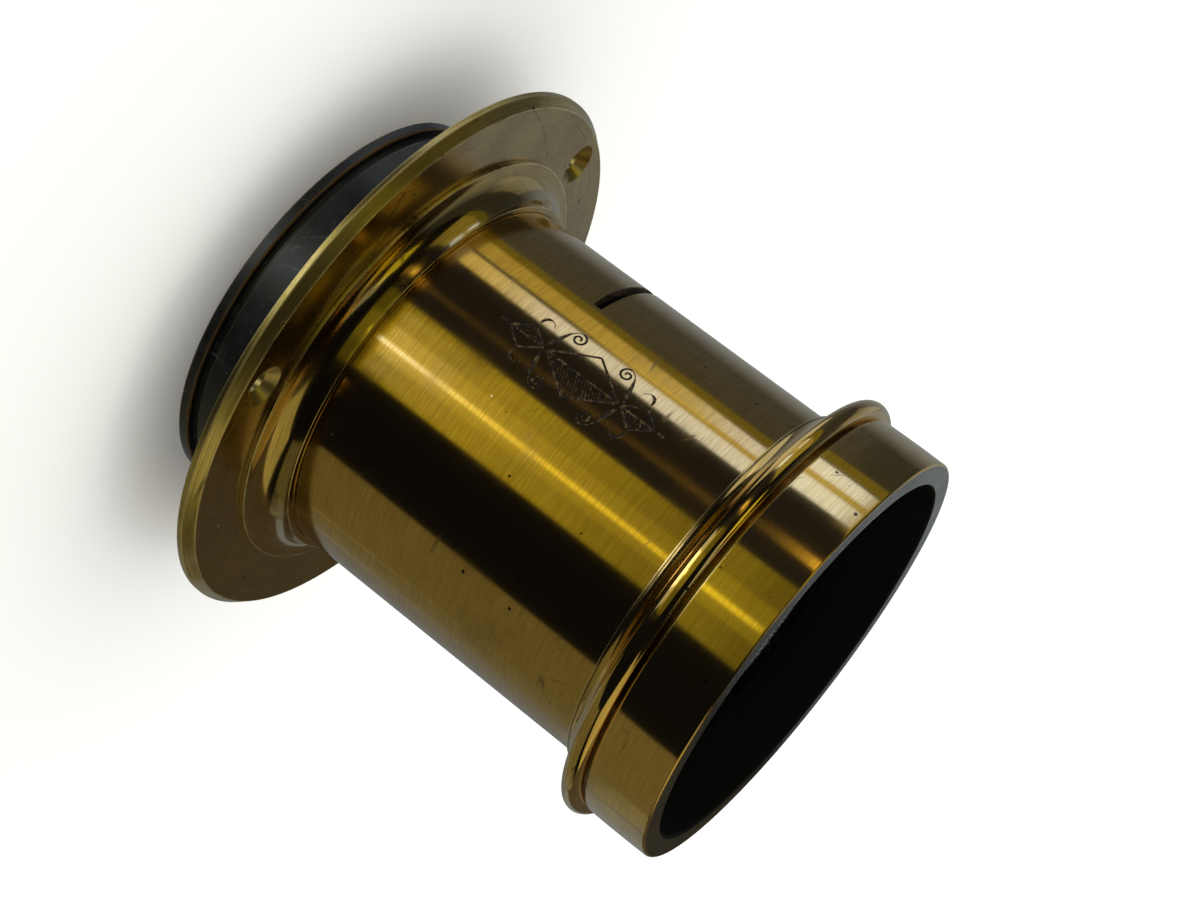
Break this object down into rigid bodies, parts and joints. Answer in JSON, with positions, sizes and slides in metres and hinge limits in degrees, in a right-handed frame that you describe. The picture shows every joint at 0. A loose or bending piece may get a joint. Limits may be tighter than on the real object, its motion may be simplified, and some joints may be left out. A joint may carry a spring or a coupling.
{
  "type": "brass camera lens",
  "caption": "Brass portrait lens with a slot for loose stops, a screw-in mounting flange, a beaded hood with the front glass, and a black rear cell.",
  "frame": {"origin": "centre of the rear rim's back face, which the lens stands on", "axes": "+Z along the optical axis towards the hood; +Y through the middle of the stop slot"},
  "size_m": [0.1008, 0.1008, 0.0994],
  "materials": {
    "lacquered_brass": "turned, finely brushed round, gold lacquer with light scratches",
    "collar_brass": "polished, lacquered, slightly browned",
    "flange_brass": "browned and scratched, bare on the bevel",
    "blackened_brass": "matt black inside the barrel",
    "black_lacquer": "satin black lacquer, rubbed on the rim",
    "optical_glass": "polished"
  },
  "bodies": {
    "flange": {"mounting_flange": "flange_brass"},
    "collar_and_guides": {"shoulder_collar": "collar_brass", "stop_guide_front": "blackened_brass", "stop_guide_rear": "blackened_brass"},
    "barrel": {"barrel_tube": "lacquered_brass"},
    "rear_glasses": {"rear_flint_lens": "optical_glass", "rear_spacer_ring": "blackened_brass", "rear_crown_lens": "optical_glass", "rear_retaining_ring": "blackened_brass"},
    "rear_cell": {"rear_cell": "black_lacquer"},
    "front_glasses": {"front_crown_lens": "optical_glass", "front_flint_lens": "optical_glass", "front_retaining_ring": "blackened_brass"},
    "hood": {"hood": "lacquered_brass"}
  },
  "joints": [
    {"name": "lens_advance", "type": "slide", "parent": "flange", "child": "collar_and_guides", "axis": [0, 0, 1], "range_m": [0, 0.00741]},
    {"name": "lens_turn", "type": "hinge", "parent": "collar_and_guides", "child": "barrel", "pos_m": [0, 0, 0.0165], "axis": [0, 0, 1], "range_deg": [0, 2520]},
    {"name": "rear_cell_advance", "type": "slide", "parent": "barrel", "child": "rear_glasses", "axis": [0, 0, -1], "range_m": [0, 0.00529]},
    {"name": "rear_cell_turn", "type": "hinge", "parent": "rear_glasses", "child": "rear_cell", "pos_m": [0, 0, 0.0125], "axis": [0, 0, -1], "range_deg": [0, 1800]},
    {"name": "hood_advance", "type": "slide", "parent": "barrel", "child": "front_glasses", "axis": [0, 0, 1], "range_m": [0, 0.00847]},
    {"name": "hood_turn", "type": "hinge", "parent": "front_glasses", "child": "hood", "pos_m": [0, 0, 0.0764], "axis": [0, 0, 1], "range_deg": [0, 2880]}
  ],
  "couplings": [
    {"joint": "lens_advance", "follows": "lens_turn", "m_per_rad": 0.00016844},
    {"joint": "rear_cell_advance", "follows": "rear_cell_turn", "m_per_rad": 0.00016844},
    {"joint": "hood_advance", "follows": "hood_turn", "m_per_rad": 0.00016844}
  ]
}
